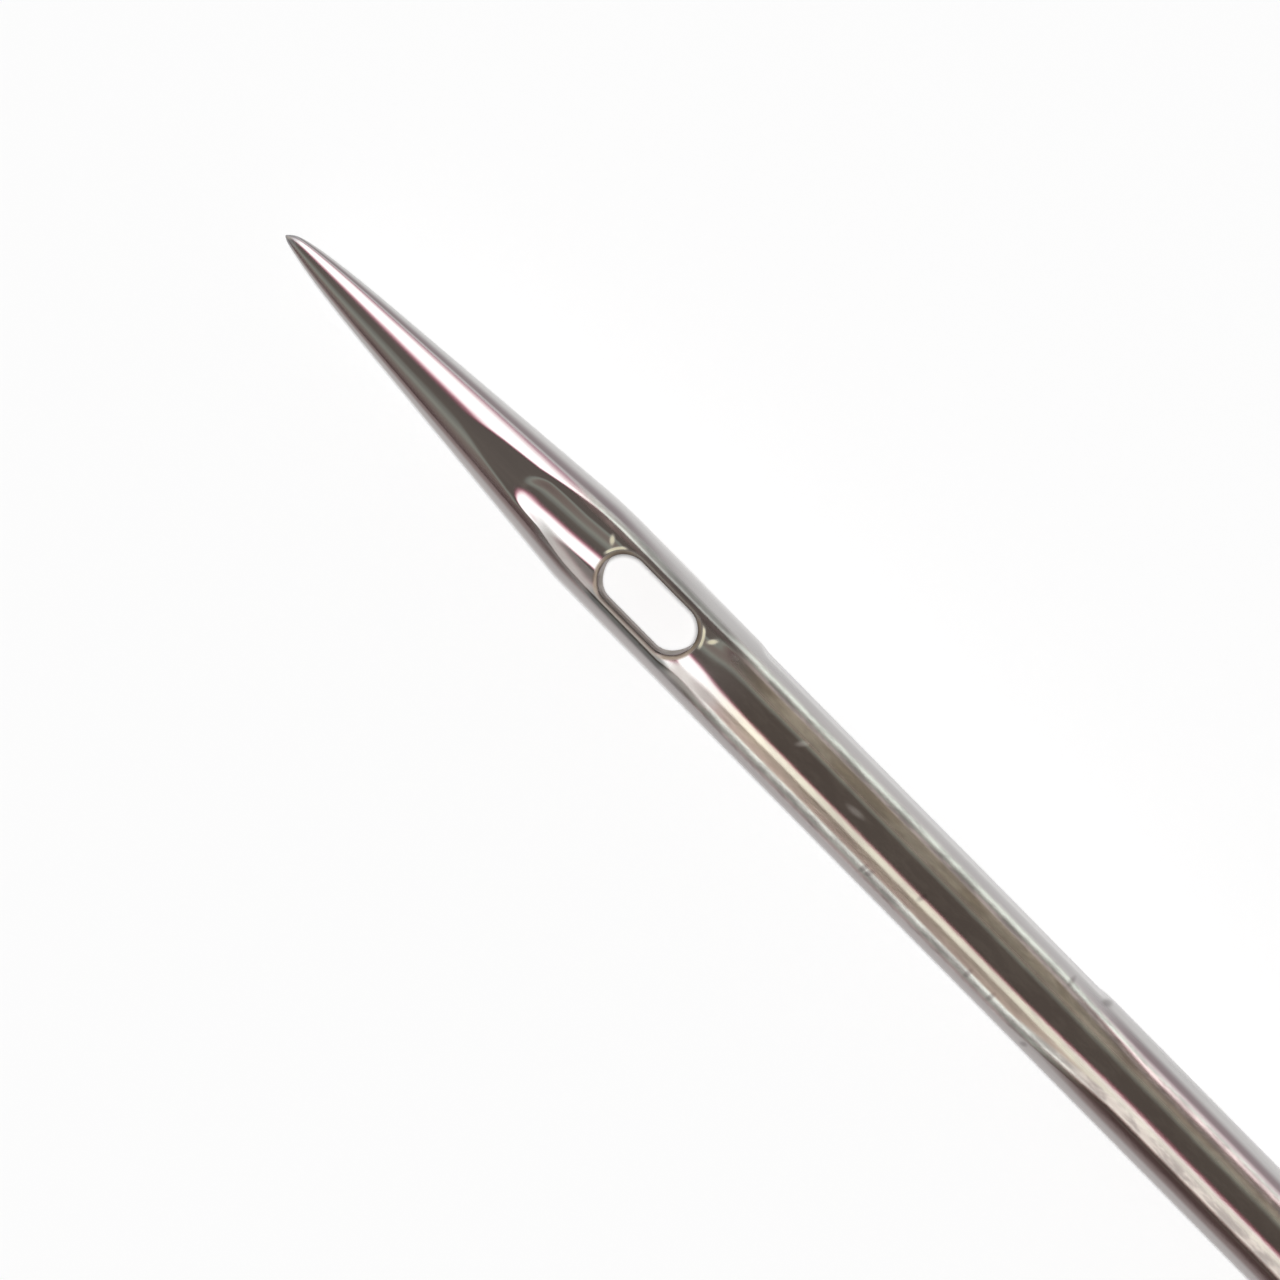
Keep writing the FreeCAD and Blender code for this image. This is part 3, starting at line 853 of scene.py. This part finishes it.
def plated_steel():
    """Plated, polished steel: fine marks along the needle, a duller groove and rougher lips, with
    painted reflection and highlight colour in the groove, painted highlight tints on the lips,
    and painted light and shade on the sides and round the eye.
    """
    material = bpy.data.materials.new("plated_steel")
    material.use_nodes = True
    g = Graph(material.node_tree)
    shader = g.nodes["Principled BSDF"]
    where = g.node("ShaderNodeTexCoord").outputs["Object"]
    split = g.node("ShaderNodeSeparateXYZ")
    g.links.new(where, split.inputs[0])
    station = g.minus(g.times(split.outputs["X"], MM_PER_M), TIP_X)
    across = g.times(split.outputs["Y"], MM_PER_M)
    height = g.minus(g.times(split.outputs["Z"], MM_PER_M), AXIS_Z)
    hollow, lip, wall, painted_side_shade, painted_light_patch = [
        g.attribute(name) for name in ("hollow", "lip", "wall", "painted_side_shade", "painted_light_patch")
    ]

    # Where each look belongs.
    front = g.step(height, *FRONT_EDGE)
    high_side = g.step(across, *SIDES_MEET)
    far = g.step(station, *SHALLOW)
    in_groove = g.times(hollow, g.step(station, *GROOVE_BEGINS))
    on_blade = g.step(station, *BLADE_BEGINS)
    low_wall = g.times(in_groove, g.step(g.times(across, -1.0), *LOW_WALL_EDGE))
    below_lip = g.minus(1.0, g.times(lip, g.step(across, *HIGH_WALL_END)))
    high_wall = g.times(in_groove, g.step(across, *HIGH_WALL_EDGE), below_lip)
    high_wall = g.times(high_wall, g.step(station, *SHALLOW, 1.0, HIGH_WALL_FAR))
    blade_lip = g.times(lip, g.between(station, *BLADE_LIP))
    tip = g.fade(station, *TIP_END)

    # Grinding lines, and rougher stains and pits, all drawn out along the needle.
    streaks = g.noise(where, *STREAKS)
    clouds = g.noise(where, *CLOUDS)
    blotches = g.step(g.noise(where, *BLOTCHES), *BLOTCH_STEP)
    grain = g.noise(where, *GRAIN)
    pits = g.noise(where, *PITS)
    fine = g.step(streaks, *NOISE_STEP)
    broad = g.step(clouds, *NOISE_STEP)

    # The blade and its groove.
    base = g.mix(fine, *STEEL)
    base = g.mix(in_groove, base, g.mix(broad, *GROOVE_FLOOR))
    # Painted highlight colour on the groove's low wall: cream, and brighter near the eye.
    bright = g.fade(station, *BRIGHT_LOW_WALL_END)
    cream = g.mix(bright, g.mix(fine, *LOW_WALL_PAINTED_HIGHLIGHT_TINT), LOW_WALL_PAINTED_HIGHLIGHT_BY_EYE)
    base = g.mix(low_wall, base, cream)
    # Painted reflection on the groove's high wall: a light olive, as if from the lit opposite wall.
    base = g.mix(high_wall, base, g.mix(blotches, *HIGH_WALL_PAINTED_REFLECTION))

    # Each lip has a painted highlight tint, a little reddish towards the low side and greenish towards
    # the high side, for the colour fringes of its highlight line. Both get painted shade beside the
    # eye, and are nicked all along.
    high_lip = g.mix(g.step(across, *HIGH_CREST), *HIGH_LIP_PAINTED_TINT)
    low_lip = g.mix(g.step(across, *LOW_CREST), *LOW_LIP_PAINTED_TINT)
    low_lip = g.mix(far, low_lip, LOW_LIP_FAR_PAINTED_TINT)
    lips = g.mix(high_side, low_lip, high_lip)
    by_eye = g.between(station, *BY_EYE)
    low_side = g.step(across, 0.0, SIDES_MEET[1], BY_EYE_LOW_SHARE, 0.0)
    by_eye = g.most(by_eye, g.times(g.between(station, *BY_EYE_LOW), low_side))
    lips = g.mix(g.times(by_eye, BY_EYE_SHARE), lips, LIP_PAINTED_SHADE_BY_EYE)
    edge, share = LIP_NICKS
    lips = g.mix(g.step(grain, *edge, share, 0.0), lips, LIP_NICK)
    base = g.mix(lip, base, lips)

    # Painted light patches beside the eye, painted shade on the round sides, specks in the groove
    # and painted shade on the eye's wall.
    painted_light_tone = g.mix(grain, *PAINTED_LIGHT_TONES)
    darker = g.mix(1.0, painted_light_tone, PAINTED_LIGHT_DARKER, "MULTIPLY")
    base = g.mix(painted_light_patch, base, g.mix(g.step(station, *PAINTED_LIGHT_CHANGES), darker, painted_light_tone))
    # Painted shade on the round sides, where their reflections are darker.
    base = g.tint(painted_side_shade, base, g.mix(high_side, *PAINTED_SIDE_SHADE_TONES))
    edge, share = GROOVE_SPECKS
    base = g.mix(g.times(in_groove, g.step(grain, *edge, share, 0.0)), base, GROOVE_SPECK)
    # Painted shade on the eye's wall.
    base = g.mix(wall, base, EYE_WALL_PAINTED_SHADE)

    # The rim of the eye is duller and rougher, with painted shade, and a painted highlight around the
    # upper half of both ends and in two hooks.
    beside = g.math("ABSOLUTE", g.minus(station, EYE_STATION))
    along = g.most(g.minus(beside, EYE_STRAIGHT), 0.0)
    off = g.minus(g.length(along, across), EYE_HALF_WIDTH)
    outside = g.step(off, *RIM_BEGINS)
    stronger = g.step(along, *RIM_STRONGER, RIM_STRAIGHT_SHARE, 1.0)
    rim = g.times(outside, g.fade(off, *RIM_ENDS), stronger)
    base = g.mix(rim, base, EYE_RIM_PAINTED_SHADE)
    pale = g.times(g.between(off, *PALE_RING), g.between(across, *PALE_SIDE))
    for hook in PAINTED_HIGHLIGHT_HOOKS:
        pale = g.most(pale, g.times(g.mark(station, across, hook), outside))
    pale = g.times(pale, front)
    base = g.mix(pale, base, EYE_RIM_PAINTED_HIGHLIGHT)

    # Scratches and ticks where the photograph shows them.
    light = g.mark(station, across, LIGHT_SCRATCH)
    light = g.most(light, g.times(g.mark(station, across, SMEAR), SMEAR_SHARE))
    light = g.times(light, front)
    base = g.mix(g.times(light, SCRATCH_SHARE), base, SCRATCH)
    dark = g.mark(station, across, DARK_SPECK)
    for tick in TICKS:
        dark = g.most(dark, g.mark(station, across, tick + TICK_SIZE))
    dark = g.times(dark, front)
    base = g.mix(g.times(dark, TICK_SHARE), base, TICK)
    base = g.mix(tip, base, TIP)
    g.put(shader.inputs["Base Color"], base)

    # Dull places reflect less like a metal.
    dull = g.plus(g.times(high_wall, DULL_HIGH_WALL), g.times(blade_lip, DULL_BLADE_LIP))
    spots = (
        (rim, DULL_RIM),
        (pale, DULL_PALE),
        (light, DULL_SCRATCH),
        (painted_light_patch, DULL_PAINTED_LIGHT),
        (tip, DULL_TIP),
    )
    for place, amount in spots:
        dull = g.most(dull, g.times(place, amount))
    g.put(shader.inputs["Metallic"], g.minus(1.0, dull))

    rough = g.step(streaks, *ROUGH_STREAKS, *ROUGH_STEEL)
    blade = g.minus(ROUGH_BLADE, g.times(in_groove, ROUGH_BLADE))
    rough = g.plus(rough, g.times(on_blade, blade))
    spots = (
        (low_wall, ROUGH_LOW_WALL),
        (high_wall, ROUGH_HIGH_WALL),
        (g.most(lip, painted_light_patch), ROUGH_LIP),
        (wall, ROUGH_EYE_WALL),
    )
    for place, amount in spots:
        rough = g.plus(rough, g.times(place, amount))
    rough = g.most(rough, g.times(g.most(rim, pale), ROUGH_RIM))
    g.put(shader.inputs["Roughness"], rough)

    relief = g.plus(g.times(streaks, BUMP_STREAKS), clouds)
    relief = g.plus(relief, g.times(pits, on_blade, BUMP_PITS))
    bump = g.node("ShaderNodeBump")
    bump.inputs["Strength"].default_value = 1.0
    bump.inputs["Distance"].default_value = BUMP_HEIGHT
    g.links.new(relief, bump.inputs["Height"])
    g.links.new(bump.outputs[0], shader.inputs["Normal"])
    return material


def world_light():
    """A studio around the needle, seen only in its reflections: a long soft box on the high side,
    a weaker one on the low side, and dark between them where the camera is."""
    world = bpy.data.worlds.new("studio")
    bpy.context.scene.world = world
    world.use_nodes = True
    g = Graph(world.node_tree)
    g.nodes.clear()
    out = g.node("ShaderNodeOutputWorld")
    split = g.node("ShaderNodeSeparateXYZ")
    g.links.new(g.node("ShaderNodeTexCoord").outputs["Generated"], split.inputs[0])
    turn = g.math("ARCTAN2", split.outputs["Y"], split.outputs["Z"])
    spread = g.node("ShaderNodeMapRange")
    spread.inputs["From Min"].default_value = -math.pi
    spread.inputs["From Max"].default_value = math.pi
    g.links.new(turn, spread.inputs["Value"])
    strips = g.node("ShaderNodeValToRGB")
    strips.color_ramp.interpolation = "EASE"
    stops = strips.color_ramp.elements
    while len(stops) > 1:
        stops.remove(stops[-1])
    stops[0].position = 0
    stops[0].color = colour(STUDIO[0][1])
    for angle, tone in STUDIO[1:]:
        stops.new((angle + 180) / 360).color = colour(tone)
    g.links.new(spread.outputs[0], strips.inputs[0])
    ends = g.step(g.math("ABSOLUTE", split.outputs["X"]), *END_LIGHT_BEGINS)
    seen = g.glow(g.mix(g.times(ends, END_LIGHT_SHARE), strips.outputs[0], END_LIGHT))
    # Plain light on dull surfaces, the studio in reflections and white behind everything.
    plain = g.glow((1, 1, 1, 1), PLAIN_LIGHT)
    paper = g.glow((1, 1, 1, 1))
    path = g.node("ShaderNodeLightPath")
    lit = g.choose(path.outputs["Is Glossy Ray"], plain, seen)
    final = g.choose(path.outputs["Is Camera Ray"], lit, paper)
    g.links.new(final, out.inputs["Surface"])


def floor():
    mesh = bpy.data.meshes.new("floor")
    half = PAPER_HALF
    corners = [(-half, -half, 0), (half, -half, 0), (half, half, 0), (-half, half, 0)]
    mesh.from_pydata(corners, [], [[0, 1, 2, 3]])
    obj = bpy.data.objects.new("floor", mesh)
    bpy.context.scene.collection.objects.link(obj)
    material = bpy.data.materials.new("paper")
    material.use_nodes = True
    shader = material.node_tree.nodes["Principled BSDF"]
    shader.inputs["Base Color"].default_value = colour(PAPER)
    shader.inputs["Roughness"].default_value = 1.0
    shader.inputs["Specular IOR Level"].default_value = 0.0
    mesh.materials.append(material)


def lamps():
    light = bpy.data.lights.new("overhead", "SUN")
    light.energy = LAMP_STRENGTH
    light.angle = LAMP_SPREAD
    obj = bpy.data.objects.new("overhead", light)
    bpy.context.scene.collection.objects.link(obj)
    obj.rotation_euler = (-VIEW_ROLL, 0, 0)
    obj.visible_glossy = False


def camera():
    data = bpy.data.cameras.new("photo")
    data.sensor_width = SENSOR
    data.lens = LENS
    data.clip_start, data.clip_end = CLIP
    obj = bpy.data.objects.new("photo", data)
    bpy.context.scene.collection.objects.link(obj)
    away = VIEW_WIDTH * LENS / SENSOR
    sine, cosine = math.sin(VIEW_ROLL), math.cos(VIEW_ROLL)
    y = VIEW_Y * cosine + away * sine
    z = AXIS_Z - VIEW_Y * sine + away * cosine
    obj.location = (VIEW_X * MM, y * MM, z * MM)
    turned = Matrix.Rotation(-VIEW_ROLL, 3, "X") @ Matrix.Rotation(VIEW_TURN, 3, "Z")
    obj.rotation_euler = turned.to_euler()
    bpy.context.scene.camera = obj


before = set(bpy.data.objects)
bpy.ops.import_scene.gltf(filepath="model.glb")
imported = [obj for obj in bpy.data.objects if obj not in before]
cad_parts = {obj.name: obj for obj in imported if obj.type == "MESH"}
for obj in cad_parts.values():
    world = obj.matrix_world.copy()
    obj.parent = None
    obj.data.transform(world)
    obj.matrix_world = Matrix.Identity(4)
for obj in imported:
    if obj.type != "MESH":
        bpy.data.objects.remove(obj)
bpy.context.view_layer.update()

needle = build_needle()
needle.data.materials.append(plated_steel())
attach(needle, "root")
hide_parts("needle")

world_light()
lamps()
floor()
camera()
bpy.context.scene.view_settings.view_transform = "Standard"

print("triangles", sum(len(p.vertices) - 2 for p in needle.data.polygons))
